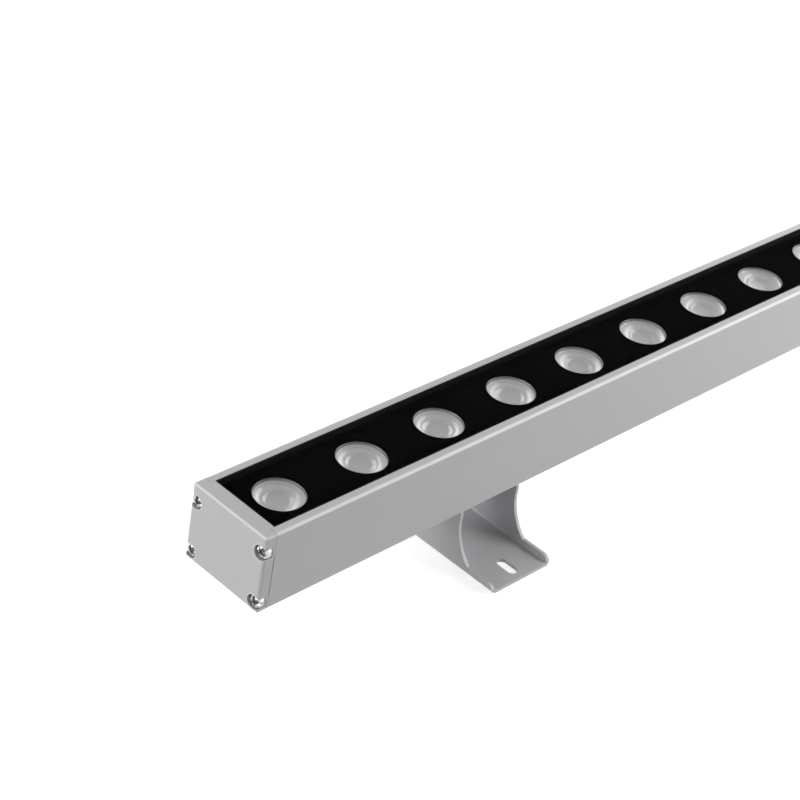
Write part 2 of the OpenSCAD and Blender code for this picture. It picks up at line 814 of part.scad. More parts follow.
housing();
end_cap(-1);  // end_cap_near
end_cap(1);  // end_cap_far
end_gasket(-1);  // end_gasket_near
end_gasket(1);  // end_gasket_far
end_cap_screws();
front_glass();
glass_seal();
window_mask();
for (i = [1:lens_count])
    lens(i);
light_chips(-1);  // light_chips_near
light_chips(1);  // light_chips_far
light_board(-1);  // light_board_near
light_board(1);  // light_board_far
light_board_screws();
board_connectors();
board_wires();
driver_board();
driver_header();
driver_chips();
driver_coils();
driver_capacitors();
cable_terminal();
gland_body();
gland_lock_nut();
gland_washer();
gland_bush();
gland_dome_nut();
bracket(-1);  // bracket_near
bracket(1);  // bracket_far
hinge_block(-1);  // hinge_block_near
hinge_block(1);  // hinge_block_far
hinge_block_screws();
pivot_bolts();
pivot_washers();
friction_washers();
pivot_nuts();
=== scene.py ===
# %% [markdown]
# # A linear wall washer light
#
# The light is a sealed aluminium bar. Fourteen dished lenses look up through round windows in a
# black mask under the glass, and the bar tilts on two pressed brackets. Its solids come from a
# CAD program as a fixed frame. This lesson dresses that frame: it gives every solid a finish,
# and makes again the small parts whose curves a CAD solid leaves plain.
#
# Everything is in metres, with X along the light, Y to its back and Z up.

import json

import bmesh
import bpy
import numpy as np
from mathutils import Matrix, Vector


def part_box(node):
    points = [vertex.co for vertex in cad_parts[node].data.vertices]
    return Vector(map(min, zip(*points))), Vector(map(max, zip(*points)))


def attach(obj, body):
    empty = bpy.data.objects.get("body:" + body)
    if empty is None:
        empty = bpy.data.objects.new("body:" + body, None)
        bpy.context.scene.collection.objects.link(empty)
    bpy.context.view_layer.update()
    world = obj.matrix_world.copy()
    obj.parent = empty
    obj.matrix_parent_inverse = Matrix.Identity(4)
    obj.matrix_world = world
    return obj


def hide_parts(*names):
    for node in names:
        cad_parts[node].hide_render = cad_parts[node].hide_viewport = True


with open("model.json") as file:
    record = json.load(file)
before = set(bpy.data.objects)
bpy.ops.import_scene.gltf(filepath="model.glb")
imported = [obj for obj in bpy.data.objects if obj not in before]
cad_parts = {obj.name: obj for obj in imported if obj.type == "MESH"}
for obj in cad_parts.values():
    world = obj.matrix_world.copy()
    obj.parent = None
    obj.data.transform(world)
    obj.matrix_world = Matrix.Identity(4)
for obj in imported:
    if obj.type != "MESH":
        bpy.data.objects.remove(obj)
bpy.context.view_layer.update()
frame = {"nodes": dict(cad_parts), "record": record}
nodes = frame["nodes"]

# %% [markdown]
# ## Sizes that the looks need
#
# Most places are read from the frame itself, so a new CAD size moves the finish with it. Only
# what a box can't tell is written here, as the CAD source has it.

# %% Read the main sizes from the frame
mm = 0.001
full_turn = 2 * np.pi
merge_gap = 1e-7  # points closer than this are one

lens_names = sorted(name for name in nodes if name.startswith("lens_"))
lens_boxes = [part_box(name) for name in lens_names]
lens_x = [(low.x + high.x) / 2 for low, high in lens_boxes]
lens_pitch = (lens_x[-1] - lens_x[0]) / (len(lens_x) - 1)
lens_low, lens_high = lens_boxes[0]
board_top, lens_top = lens_low.z, lens_high.z
lens_r = (lens_high.y - lens_low.y) / 2

cap_low, cap_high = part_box("end_cap_far")
end_x, housing_half, lip_z = cap_high
underside_z = cap_low.z
print("Lens pitch", round(lens_pitch / mm, 2), "mm, lens radius", round(lens_r / mm, 2), "mm")

# %% [markdown]
# ## Surfaces from formulas
#
# A surface here is a grid of points that numpy works out in one go, so no loop visits the
# points one by one. A lathe is the commonest case: half a section, carried round an axis.
# Modelling by hand would also do, but a formula keeps every radius a number that can be read.

# %% Turn a grid of points into corners and faces
def both(value):
    """The same distance to either side of the middle."""
    return -value, value


def grid_faces(points, ring=False):
    """Corners and four-sided faces of a grid of rows x columns points that closes round its columns,
    and in a ring also from its last row to its first. Each face joins a point, the next in its
    column, the one diagonally past it and the next in its row."""
    rows, columns = points.shape[:2]
    r, c = np.arange(rows if ring else rows - 1)[:, None], np.arange(columns)[None, :]
    r_next, c_next = (r + 1) % rows, (c + 1) % columns
    corners = (r * columns + c, r_next * columns + c, r_next * columns + c_next, r * columns + c_next)
    return points.reshape(-1, 3), np.stack(np.broadcast_arrays(*corners), -1).reshape(-1, 4)


def all_faces(grids, rings=False):
    """The corners and faces of each grid in a list."""
    return [grid_faces(grid, rings) for grid in grids]


def eased(corners, cut, steps=5):
    """A line through the corners with each inner corner rounded.
    The corner C gives way to a curve from A to B on its two sides: (1-t)^2 A + 2t(1-t) C + t^2 B."""
    line = np.asarray(corners, float)
    middle = line[1:-1]
    before, after = line[:-2] - middle, line[2:] - middle
    length_before = np.linalg.norm(before, axis=1, keepdims=True)
    length_after = np.linalg.norm(after, axis=1, keepdims=True)
    reach = np.minimum(cut, 0.45 * np.minimum(length_before, length_after))
    a, b = middle + before / length_before * reach, middle + after / length_after * reach
    t = np.linspace(0, 1, steps)[None, :, None]
    bridge = (1 - t) ** 2 * a[:, None] + 2 * t * (1 - t) * middle[:, None] + t**2 * b[:, None]
    return np.concatenate([line[:1], bridge.reshape(-1, line.shape[1]), line[-1:]])


def points_at(radii, heights):
    """Section points from radii and heights, either of which may be a single number."""
    return np.stack(np.broadcast_arrays(radii, heights), -1)


def lathe(section, columns=96):
    """A half section of (radius, height) points, turned: x = r cos a, y = r sin a, z = height."""
    r, h = np.asarray(section, float).T[:, :, None]
    a = np.linspace(0, full_turn, columns, endpoint=False)[None, :]
    return np.stack([r * np.cos(a), r * np.sin(a), h + 0 * a], -1)


def placed(points, origin, up=(0, 0, 1), turn=0.0):
    """Points turned about their own height, stood along `up` and moved to `origin`."""
    z = np.asarray(up, float)
    x = np.cross((0, 1, 0) if abs(z[1]) < 0.9 else (1, 0, 0), z)
    x /= np.linalg.norm(x)
    y = np.cross(z, x)
    c, s = np.cos(turn), np.sin(turn)
    turned_axes = np.stack([c * x + s * y, c * y - s * x, z])
    return points @ turned_axes + origin


# %% Put surfaces into a piece that rides on a body
def add_object(name, data):
    """A new object in the scene, which shows some data."""
    thing = bpy.data.objects.new(name, data)
    bpy.context.scene.collection.objects.link(thing)
    return thing


def make_piece(name, surfaces, finish, replaced="", body="light", sharp_degrees=35):
    """One mesh object from (corners, faces) pairs, with doubles merged and faces turned outwards."""
    corner_sets, face_sets = zip(*surfaces)
    starts = np.cumsum([0] + [len(corners) for corners in corner_sets])
    faces = np.concatenate([faces + start for faces, start in zip(face_sets, starts)])
    mesh = bpy.data.meshes.new(name)
    mesh.from_pydata(np.concatenate(corner_sets).tolist(), [], faces.tolist())
    tidy = bmesh.new()
    tidy.from_mesh(mesh)
    bmesh.ops.remove_doubles(tidy, verts=tidy.verts, dist=merge_gap)
    bmesh.ops.dissolve_degenerate(tidy, edges=tidy.edges, dist=merge_gap)
    bmesh.ops.recalc_face_normals(tidy, faces=tidy.faces)
    tidy.to_mesh(mesh)
    tidy.free()
    mesh.shade_smooth()
    mesh.set_sharp_from_angle(angle=np.radians(sharp_degrees))
    mesh.materials.append(finish.material)
    piece = add_object(name, mesh)
    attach(piece, body)
    if replaced:
        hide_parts(replaced)
    print(name, "has", len(mesh.polygons), "faces")


# %% [markdown]
# ## Finishes as sums
#
# A finish is a small network of nodes. Drawing it socket by socket hides the idea, so a thin
# wrapper lets a network be written as a sum: `1 - mask` adds the Math node that it needs.

# %% Wrap sockets, so that sums on them add nodes
class Signal:
    """One output of a node. A sum or product with it adds a Math node and gives its output."""

    def __init__(self, network, socket):
        self.network, self.socket = network, socket

    def output(self, name):
        """Another output of the same node."""
        return Signal(self.network, self.socket.node.outputs[name])

    def maths(self, operation, *values):
        return self.network.maths(operation, *values)

    def __add__(self, other):
        return self.maths("ADD", self, other)

    def __radd__(self, other):
        return self.maths("ADD", other, self)

    def __sub__(self, other):
        return self.maths("SUBTRACT", self, other)

    def __rsub__(self, other):
        return self.maths("SUBTRACT", other, self)

    def __mul__(self, other):
        return self.maths("MULTIPLY", self, other)

    def __rmul__(self, other):
        return self.maths("MULTIPLY", other, self)

    def __abs__(self):
        return self.maths("ABSOLUTE", self)


class Network:
    """A tree of nodes, and what it takes to add to it."""

    def __init__(self, tree):
        self.tree = tree

    def maths(self, operation, *values):
        return self.node("ShaderNodeMath", {"operation": operation}, dict(enumerate(values)))

    def node(self, kind, settings=(), inputs=(), output=0):
        """Adds any node: its settings first, then the values or signals of its sockets."""
        made = self.tree.nodes.new(kind)
        for key, value in dict(settings).items():
            setattr(made, key, value)
        self.connect(made, inputs)
        return Signal(self, made.outputs[output])

    def connect(self, made, inputs):
        for key, value in dict(inputs).items():
            if isinstance(value, Signal):
                self.tree.links.new(value.socket, made.inputs[key])
            else:
                made.inputs[key].default_value = value


class Finish(Network):
    """A material with one Principled shader."""

    def __init__(self, name):
        self.material = bpy.data.materials.new(name)
        self.material.use_nodes = True
        super().__init__(self.material.node_tree)
        self.shader = self.tree.nodes["Principled BSDF"]

    def wear(self, **inputs):
        """Sets the shader's own sockets, with _ in a name for each space."""
        self.connect(self.shader, {key.replace("_", " "): value for key, value in inputs.items()})
        print(self.material.name, "has", len(self.tree.nodes), "nodes")
        return self


# %% Short names for the patterns that several finishes use
def tint(red, green, blue):
    """A colour's light from its screen values: ((v + 0.055) / 1.055)^2.4, or v / 12.92 near black."""
    v = np.array([red, green, blue]) / 255
    light = np.where(v > 0.04045, ((v + 0.055) / 1.055) ** 2.4, v / 12.92)
    return (*light.tolist(), 1.0)


def grey(value):
    """A neutral colour from its value on a screen, 0 to 255."""
    return tint(value, value, value)


def axes(finish):
    """The point's X, Y and Z in metres, as three signals."""
    point = finish.node("ShaderNodeTexCoord", output="Object")
    x = finish.node("ShaderNodeSeparateXYZ", inputs={0: point}, output="X")
    return x, x.output("Y"), x.output("Z")


def noise(finish, grain, detail=2.0, stretch=(1, 1, 1)):
    """Smooth chance from 0 to 1, in lumps about `grain` metres across before a stretch."""
    point = finish.node("ShaderNodeTexCoord", output="Object")
    point = finish.node("ShaderNodeVectorMath", {"operation": "MULTIPLY"}, {0: point, 1: stretch})
    inputs = {"Vector": point, "Scale": 1 / grain, "Detail": detail}
    return finish.node("ShaderNodeTexNoise", inputs=inputs)


def between(value, start, end):
    """0 before start and 1 past end, with a soft step between them."""
    inputs = {"Value": value, "From Min": start, "From Max": end}
    return value.network.node("ShaderNodeMapRange", {"interpolation_type": "SMOOTHSTEP"}, inputs)


def stripe(value, inner, outer):
    """1 while the value is within `inner` of zero and 0 past `outer`, on both its sides."""
    return 1 - between(abs(value), inner, outer)


def folded(value, half):
    """The value brought back between -half and half, again and again."""
    return value.maths("WRAP", value, half, -half)


def hypot(first, second):
    """The root of first^2 + second^2."""
    return first.maths("SQRT", first * first + second * second)


def largest(first, *others):
    """The greatest of some signals at each point."""
    for other in others:
        first = first.maths("MAXIMUM", first, other)
    return first


def blend(share, first, second):
    """The first colour where share is 0 and the second where it is 1."""
    inputs = {0: share, 6: first, 7: second}
    return share.network.node("ShaderNodeMix", {"data_type": "RGBA"}, inputs, output=2)


def bump(height, depth):
    """Tilts the surface's shading as if `height`, 0 to 1, raised it by up to `depth` metres."""
    inputs = {"Height": height, "Distance": depth, "Strength": 1.0}
    return height.network.node("ShaderNodeBump", inputs=inputs)


# %% [markdown]
# ## Light grey paint on the aluminium
#
# The housing and its caps are extruded or cut, then coated in a satin light grey. Up close such
# a coat isn't even: it clouds a little over centimetres, faint draw lines of the extrusion show
# through along the light, and the powder leaves a fine peel. Each is a noise at its own scale.

# %% A satin coat, with painted highlights that also stand for worn paint, and painted shade in places
cloud_w, line_w, peel_w, highlight_rub_w = 60 * mm, 1.2 * mm, 0.35 * mm, 8 * mm
coat_spread = 6  # of 255, each way from a coat's tone
# The pale tint paints edge highlights, which also stand for worn paint; the dark one paints shade.
highlight_rub_tint, painted_shade_tint = tint(236, 236, 239), grey(84)


def coat(finish, tone, line_stretch, highlight_rub=0, painted_shade=0):
    """Wide clouds, lines along one axis and a fine peel, each a noise of its own. The coat is paler and
    glossier in patches under a painted highlight, which also stands for worn paint, and darker under
    painted shade."""
    cloud = noise(finish, cloud_w)
    lines = noise(finish, line_w, 3, line_stretch)
    peel = noise(finish, peel_w)
    shade = 0.55 * cloud + 0.3 * lines + 0.15 * peel
    dark, pale = [tint(value, value, value + 2) for value in (tone - coat_spread, tone + coat_spread)]
    colour = blend(shade, dark, pale)
    # Painted highlight: paler and glossier, in patches
    if highlight_rub:
        highlight_rub = highlight_rub * (0.75 + 0.25 * noise(finish, highlight_rub_w))
        colour = blend(highlight_rub, colour, highlight_rub_tint)
    # Painted shade: darker
    if painted_shade:
        colour = blend(painted_shade, colour, painted_shade_tint)
    finish.wear(
        Base_Color=colour,
        Roughness=0.34 + 0.14 * cloud + 0.06 * lines - 0.1 * highlight_rub,
        Normal=bump(0.5 * peel + 0.5 * lines, 0.02 * mm),
    )


def near_edge(first_gap, second_gap, reach):
    """1 on the edge where both gaps are 0, falling to 0 at `reach` from it."""
    return 1 - between(hypot(first_gap, second_gap), 0.35 * reach, reach)


# %% The coat on the housing
extrusion_coat = Finish("extrusion_coat")
_, bar_y, bar_z = axes(extrusion_coat)
# A paler band along the lips' outer edges paints their highlight, which also stands for worn paint.
lip_highlight_rub = near_edge(housing_half - abs(bar_y), lip_z - bar_z, 1.4 * mm)
coat(extrusion_coat, 188, (0.02, 1, 1), 1.1 * lip_highlight_rub)

# %% Where the cap screws and their pockets are
screw_side_in, screw_top_in, screw_floor_in = 2.35 * mm, 7.6 * mm, 3.7 * mm
pocket_r, pocket_depth = 3.1 * mm, 3.8 * mm
screw_y = housing_half - screw_side_in
screw_heights = (underside_z + screw_floor_in, lip_z - screw_top_in)


def gap_to_screw(y, z):
    """Distance from the axis of the nearest cap screw: the root of (|y| - its y)^2 + (z - its z)^2."""
    gaps = [hypot(abs(y) - screw_y, z - height) for height in screw_heights]
    return y.maths("MINIMUM", *gaps)


# %% The coat on the caps, with painted highlights on its edges and round its pockets, and painted shade in the pockets
cap_coat = Finish("cap_coat")
cap_px, cap_py, cap_pz = axes(cap_coat)
face_gap, side_gap, top_gap = end_x - abs(cap_px), housing_half - abs(cap_py), lip_z - cap_pz
screw_away = gap_to_screw(cap_py, cap_pz)
above_floor = 1 - between(face_gap, pocket_depth, pocket_depth + 0.05 * mm)
# Paler bands paint the highlights on the cap's edges and round its pocket rims; they also stand for
# worn paint.
strong_edge_highlights = [near_edge(face_gap, top_gap, 1.1 * mm), near_edge(side_gap, top_gap, 1.2 * mm)]
weak_edge_highlights = [
    near_edge(face_gap, side_gap, 1.1 * mm),
    near_edge(face_gap, screw_away - pocket_r, 0.7 * mm),
    above_floor * near_edge(side_gap, screw_away - pocket_r, 0.6 * mm),
]
cap_highlight_rub = largest(*strong_edge_highlights, *[0.6 * edge for edge in weak_edge_highlights])
# The pocket walls are painted darker, as the shade inside them.
in_pocket = above_floor * (1 - between(screw_away, pocket_r, pocket_r + 0.12 * mm))
pocket_painted_shade = 0.5 * in_pocket * between(face_gap, 0.2 * mm, 1.6 * mm)
coat(cap_coat, 186, (1, 1, 0.1), 0.7 * cap_highlight_rub, pocket_painted_shade)

# %% [markdown]
# The brackets carry the same coat over pressed sheet, painted a little paler to light them where the
# housing shades them. The sheet is rolled, so its lines run across the light.

# %% The coat on the brackets
bracket_coat = Finish("bracket_coat")
# The paler tone paints in light where the housing shades the brackets.
coat(bracket_coat, 197, (1, 0.04, 1))

# %% [markdown]
# ## Polished steel
#
# Bolts, nuts, washers and screws are bright steel. Polishing leaves fine scratches that show
# as little more than a change of gloss, and a faint tarnish clouds the metal's own colour.

# %% The bolts, nuts and washers
steel = Finish("polished_steel")
scratches = noise(steel, 0.25 * mm, 4, (1, 1, 6))
tarnish = noise(steel, 1.5 * mm)
steel.wear(
    Base_Color=blend(tarnish, tint(205, 201, 194), tint(226, 224, 220)),
    Metallic=1.0,
    Roughness=0.14 + 0.16 * scratches,
    Normal=bump(scratches, 0.004 * mm),
)

# %% [markdown]
# The cap screws have the same shine, with painted shade where the screwdriver's cross is pressed in and
# behind the head, and dark stains in patches. Depth is measured from the cap's outer face, which both
# share.

# %% The cap screws
screw_steel = Finish("cap_screw_steel")
screw_px, screw_py, screw_pz = axes(screw_steel)
screw_sunk = end_x - abs(screw_px)
cross_mask = 1 - between(gap_to_screw(screw_py, screw_pz), 1.7 * mm, 2.0 * mm)
# The cross recess and the shank behind the head are painted dark, as the shade in them.
cross_painted_shade = cross_mask * between(screw_sunk, 0.65 * mm, 0.95 * mm)
head_painted_shade = between(screw_sunk, 2.2 * mm, 3.5 * mm)
stains = between(noise(screw_steel, 1.5 * mm, 1), 0.56, 0.66)
shade_and_stains = largest(cross_painted_shade, head_painted_shade, 0.8 * stains)
screw_tarnish = noise(screw_steel, 1.2 * mm, 3)
bright_steel = blend(screw_tarnish, tint(170, 169, 166), tint(222, 221, 218))
screw_steel.wear(
    # Darker under the painted shade and the stains
    Base_Color=blend(0.8 * shade_and_stains, bright_steel, tint(44, 42, 40)),
    Metallic=1.0,
    Roughness=0.16 + 0.2 * screw_tarnish + 0.3 * shade_and_stains,
    Normal=bump(noise(screw_steel, 0.25 * mm, 4), 0.006 * mm),
)

# %% [markdown]
# ## Glass, bead and mask
#
# Through the glass the mask is a deep black with no reflection, and the lenses are seen without
# haze. Glass that bends light would need many bounces to light what lies under it, so this pane
# is a thin film instead: almost clear, with a weak gloss and faint wipe marks.

# %% The front glass
glass = Finish("clear_glass")
wipe_marks = noise(glass, 30 * mm, 2, (1, 0.3, 1))
glass.wear(
    Base_Color=grey(20),
    Roughness=0.03 + 0.06 * wipe_marks,
    Alpha=0.02 + 0.025 * wipe_marks,
)

# %% The black print under it
mask_print = Finish("black_print")
print_grain = noise(mask_print, 0.5 * mm)
mask_print.wear(
    Base_Color=blend(print_grain, grey(3), grey(9)),
    Roughness=0.5 + 0.2 * print_grain,
    Specular_IOR_Level=0.0,
    Normal=bump(print_grain, 0.005 * mm),
)

# %% The bead of sealant round the glass
sealant = Finish("black_sealant")
bead_waves = noise(sealant, 2.5 * mm)
sealant.wear(
    Base_Color=blend(bead_waves, grey(5), grey(11)),
    Roughness=0.5 + 0.2 * bead_waves,
    Specular_IOR_Level=0.1,
    Normal=bump(bead_waves, 0.06 * mm),
)

# %% [markdown]
# ## The lenses
#
# Each lens is moulded with a raised collar, a flat rim and a dish in two steps, whose walls catch
# the lamps to the left and right. The dish is drawn by its slope: an angle for each radius, whose
# tangent is summed from the rim inwards to give the height. A lathe then turns it, and three legs
# stand it on its board. The mould's own turning leaves fine rings and a dull mottle near the rim.

# %% The lens plastic
lens_plastic = Finish("lens_plastic")
lens_px, lens_py, _ = axes(lens_plastic)
from_axis = hypot(folded(lens_px - lens_x[0], lens_pitch / 2), lens_py)
flow = noise(lens_plastic, 3 * mm)
frost = noise(lens_plastic, 0.2 * mm)
# The sloped walls of the dish are painted lighter than its middle, as the light they catch.
lit_flank = between(from_axis, 4.5 * mm, 8 * mm)
# The collar is painted a darker grey, as the shade under the mask's edge.
collar_shade_mask = between(from_axis, lens_r - 1.05 * mm, lens_r - 0.9 * mm)
tool_step = 0.25 * mm
rings = abs(folded(from_axis, tool_step)) * (1 / tool_step)
tool_rings = rings * between(from_axis, 7.6 * mm, 8.4 * mm)
mottle = 0.35 * between(from_axis, 7.9 * mm, 8.5 * mm) * noise(lens_plastic, 0.3 * mm, 3)
clear_face = blend(0.8 * lit_flank + 0.2 * flow, grey(172), grey(198))
face_colour = blend(mottle, clear_face, grey(90))
lens_plastic.wear(
    Base_Color=blend(collar_shade_mask, face_colour, grey(124)),
    Roughness=0.28 + 0.1 * frost + 0.1 * flow,
    Specular_IOR_Level=0.8,
    Normal=bump(0.3 * frost + 0.7 * tool_rings, 0.012 * mm),
    Coat_Weight=1.0,
    Coat_Roughness=0.18,
)

# %% One lens from its slopes
collar_w, collar_h = 0.9 * mm, 0.7 * mm
rim_w, flange_t = 0.8 * mm, 1.8 * mm
heel_r, heel_h = 4.4 * mm, 1.6 * mm
chip_room_r, chip_room_h = 2.6 * mm, 3.0 * mm
leg_r, leg_in, leg_top_in = 0.9 * mm, 1.9 * mm, 1.6 * mm
leg_degrees = [90, 210, 330]
dish_radii = [0, 3.8, 4.8, 5.4, 6.3, 7.0, 7.6, 8.4, 9.6]  # mm from the axis
dish_slopes = [0, 3, 20, 22, 9, 18, 22, 26, 36]  # degrees at each radius


def dish_section(rim_r, rim_h):
    """Radius and height over the dish, from the rim to the axis.
    The height drops by the tangent of the slope times the step, summed from the rim inwards."""
    r = np.linspace(rim_r, 0, 60)
    slope = np.radians(np.interp(r / mm, dish_radii, dish_slopes))
    drop = np.cumsum(np.tan(slope) * np.abs(np.gradient(r)))
    return points_at(r, rim_h - drop)


def body_section(flange_r, under_h):
    """The flared body from heel to flange: the radius grows with the square root of the height."""
    s = np.linspace(0, 1, 24)
    return points_at(heel_r + (flange_r - heel_r) * np.sqrt(s), heel_h + (under_h - heel_h) * s)


def lens_surfaces(x):
    """The turned lens and its three legs, stood at x on the board."""
    h = lens_top - board_top
    collar_in = lens_r - collar_w
    dish_r, rim_h, under_h = collar_in - rim_w, h - collar_h, h - flange_t
    pocket = [(0, heel_h + chip_room_h), (chip_room_r, heel_h + chip_room_h), (chip_room_r, heel_h)]
    collar = [(lens_r, under_h), (lens_r, h), (collar_in, h), (collar_in, rim_h)]
    section = np.concatenate([
        eased(pocket + [(heel_r, heel_h)], 0.15 * mm),
        body_section(dish_r, under_h),
        eased([(dish_r, under_h)] + collar + [(dish_r, rim_h)], 0.12 * mm),
        dish_section(dish_r, rim_h),
    ])
    leg_h, leg_out = h - leg_top_in, lens_r - leg_in
    leg = lathe(eased([(0, 0), (leg_r, 0), (leg_r, leg_h), (0, leg_h)], 0.2 * mm), 24)
    feet = [(x + leg_out * np.cos(a), leg_out * np.sin(a), board_top) for a in np.radians(leg_degrees)]
    return all_faces([placed(lathe(section), (x, 0, board_top))] + [placed(leg, foot) for foot in feet])


for name, x in zip(lens_names, lens_x):
    make_piece("dished_" + name, lens_surfaces(x), lens_plastic, name, sharp_degrees=28)

# %% [markdown]
# ## Finishes of the parts inside
#
# The light boards are white, with silver pads beside each chip and two raised tracks that run
# from chip to chip. The pads repeat with the lenses, so one pattern, folded at the pitch, draws
# them on both boards. The driver board is green with paler tracks.

# %% The white light boards
white_board = Finish("white_board")
wb_x, wb_y, _ = axes(white_board)
pad_side = 3.0 * mm  # from a chip's middle to a pad's
from_pad = abs(folded(wb_x - lens_x[0], lens_pitch / 2)) - pad_side
pads = stripe(from_pad, 0.9 * mm, 1.0 * mm) * stripe(wb_y, 1.5 * mm, 1.6 * mm)
track_side = 3.4 * mm + 0.8 * mm * noise(white_board, 12 * mm, 0, (1, 0, 0))
tracks = stripe(abs(wb_y) - track_side, 0.28 * mm, 0.34 * mm)
speckle = noise(white_board, 0.6 * mm)
board_paint = blend(0.6 * tracks + 0.3 * speckle, grey(232), grey(204))
white_board.wear(
    Base_Color=blend(pads, board_paint, grey(176)),
    Metallic=0.9 * pads,
    Roughness=0.4 - 0.12 * pads + 0.1 * speckle,
    Normal=bump(tracks + pads, 0.03 * mm),
)

# %% The green driver board
green_board = Finish("green_board")
_, gb_y, _ = axes(green_board)
lane_pitch = 2.2 * mm
wavering_y = gb_y + 1.5 * mm * noise(green_board, 20 * mm, 1, (1, 0.2, 0))
lanes = stripe(folded(wavering_y, lane_pitch / 2), 0.24 * mm, 0.32 * mm)
weave = noise(green_board, 0.5 * mm, 1, (1, 1, 0))
dark_green, pale_green = tint(12, 84, 48), tint(38, 128, 76)
green_board.wear(
    Base_Color=blend(0.75 * lanes + 0.25 * weave, dark_green, pale_green),
    Roughness=0.3 + 0.15 * weave,
    Normal=bump(lanes, 0.03 * mm),
)

# %% The light chips: white ceramic under a yellow dome
chip = Finish("chip_phosphor")
_, _, chip_z = axes(chip)
ceramic_h = 0.8 * mm
dome_mask = between(chip_z - board_top, ceramic_h - 0.05 * mm, ceramic_h + 0.05 * mm)
powder = noise(chip, 0.3 * mm)
chip.wear(
    Base_Color=blend(dome_mask * (0.85 + 0.15 * powder), grey(236), tint(240, 206, 70)),
    Roughness=0.4 - 0.3 * dome_mask + 0.05 * powder,
)


# %% Plastics, rubber and metals
def moulded(name, dark, pale, roughness, grain, depth, metallic=0.0):
    """A moulded or drawn surface: two near tones, a fine raised grain and a small change of gloss."""
    finish = Finish(name)
    lumps = noise(finish, grain)
    clouds = noise(finish, 12 * grain)
    return finish.wear(
        Base_Color=blend(0.6 * lumps + 0.4 * clouds, dark, pale),
        Roughness=roughness + 0.12 * lumps + 0.06 * clouds,
        Normal=bump(lumps, depth),
        Metallic=metallic,
    )


nylon = moulded("black_nylon", grey(26), grey(42), 0.38, 0.4 * mm, 0.02 * mm)
chip_plastic = moulded("chip_plastic", grey(30), grey(46), 0.5, 0.15 * mm, 0.008 * mm)
solder = moulded("solder", grey(176), grey(206), 0.25, 0.5 * mm, 0.01 * mm, 1.0)
cream, pale_cream = tint(222, 218, 206), tint(236, 233, 224)
white_nylon = moulded("white_nylon", cream, pale_cream, 0.4, 0.3 * mm, 0.01 * mm)
moss, pale_moss = tint(34, 112, 58), tint(50, 136, 74)
terminal_plastic = moulded("terminal_plastic", moss, pale_moss, 0.35, 0.4 * mm, 0.01 * mm)
gasket = moulded("grey_gasket", grey(170), grey(186), 0.6, 0.5 * mm, 0.02 * mm)
rubber = moulded("black_rubber", grey(26), grey(36), 0.6, 0.4 * mm, 0.02 * mm)

# %% Copper on ferrite
coil_low, coil_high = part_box("driver_coils")
coil_lip, blend_w = 0.8 * mm, 0.1 * mm
coil_finish = Finish("coil_ferrite")
_, _, coil_z = axes(coil_finish)
end_gaps = (coil_z - coil_low.z, coil_high.z - coil_z)
over_base, under_lid = [between(gap, coil_lip, coil_lip + blend_w) for gap in end_gaps]
wound = over_base * under_lid
coil_grain = noise(coil_finish, 0.4 * mm)
copper = blend(coil_grain, tint(150, 78, 44), tint(188, 108, 66))
core = blend(coil_grain, grey(44), grey(60))
coil_finish.wear(
    Base_Color=blend(wound, core, copper),
    Metallic=0.85 * wound,
    Roughness=0.55 - 0.25 * wound + 0.1 * coil_grain,
    Normal=bump(coil_grain, 0.02 * mm),
)

# %% Sleeved cans, with a pale stripe down one side
can_low, can_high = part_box("driver_capacitors")
capacitor_finish = Finish("capacitor_can")
_, sleeve_y, sleeve_z = axes(capacitor_finish)
bare_top = between(sleeve_z - can_high.z, -0.35 * mm, -0.25 * mm)
brushed = noise(capacitor_finish, 0.3 * mm, 3)
sleeve = blend(between(sleeve_y, 1.9 * mm, 2.0 * mm), grey(30), grey(150))
can_metal = blend(brushed, grey(176), grey(200))
capacitor_finish.wear(
    Base_Color=blend(bare_top, sleeve, can_metal),
    Metallic=0.95 * bare_top,
    Roughness=0.34 - 0.08 * bare_top + 0.1 * brushed,
    Normal=bump(brushed, 0.004 * mm),
)

# %% Wires, red to the front and black to the back
wire_finish = Finish("wire_insulation")
_, wire_y, _ = axes(wire_finish)
wire_grain = noise(wire_finish, 1.0 * mm)
red_wire = blend(wire_grain, tint(150, 20, 18), tint(176, 34, 28))
at_back = between(wire_y, -0.1 * mm, 0.1 * mm)
wire_finish.wear(
    Base_Color=blend(at_back, red_wire, grey(32)),
    Roughness=0.3 + 0.1 * wire_grain,
    Normal=bump(wire_grain, 0.01 * mm),
)

# %% [markdown]
# ## Screws with pressed recesses
#
# A pan head is a low dome with a cross pressed into it. On a lathe's grid the cross is a height
# taken away: full depth where a point lies inside either bar of the cross, none outside, with
# slanted walls between. The shank below is the same grid, with a thread wound round it. A real
# thread is a helix, and so is this one: the wave that cuts it moves on by one lead a turn.

# %% Wind a thread
def threaded(grid, shank_r, low, high, lead, depth):
    """Cuts a thread between two heights. The radius falls by the depth times a wave, which
    runs up and down once for each step of height / lead - angle / full turn."""
    turn = np.arange(grid.shape[1])[None, :] / grid.shape[1]
    height, r = grid[..., 2], np.hypot(grid[..., 0], grid[..., 1])
    wave = np.abs((height / lead - turn) % 1 * 2 - 1)
    cut = (height > low) & (height < high) & (abs(r - shank_r) < 0.02 * shank_r)
    grid[..., :2] *= (1 - cut * wave * depth / shank_r)[..., None]
    return grid


def shank_rows(shank_r, start, end, lead):
    """Section points down a shank, six to a lead, so that its thread has a clear wave."""
    h = np.linspace(start, end, max(2, int(abs(end - start) / lead * 6)))
    return points_at(shank_r, h)


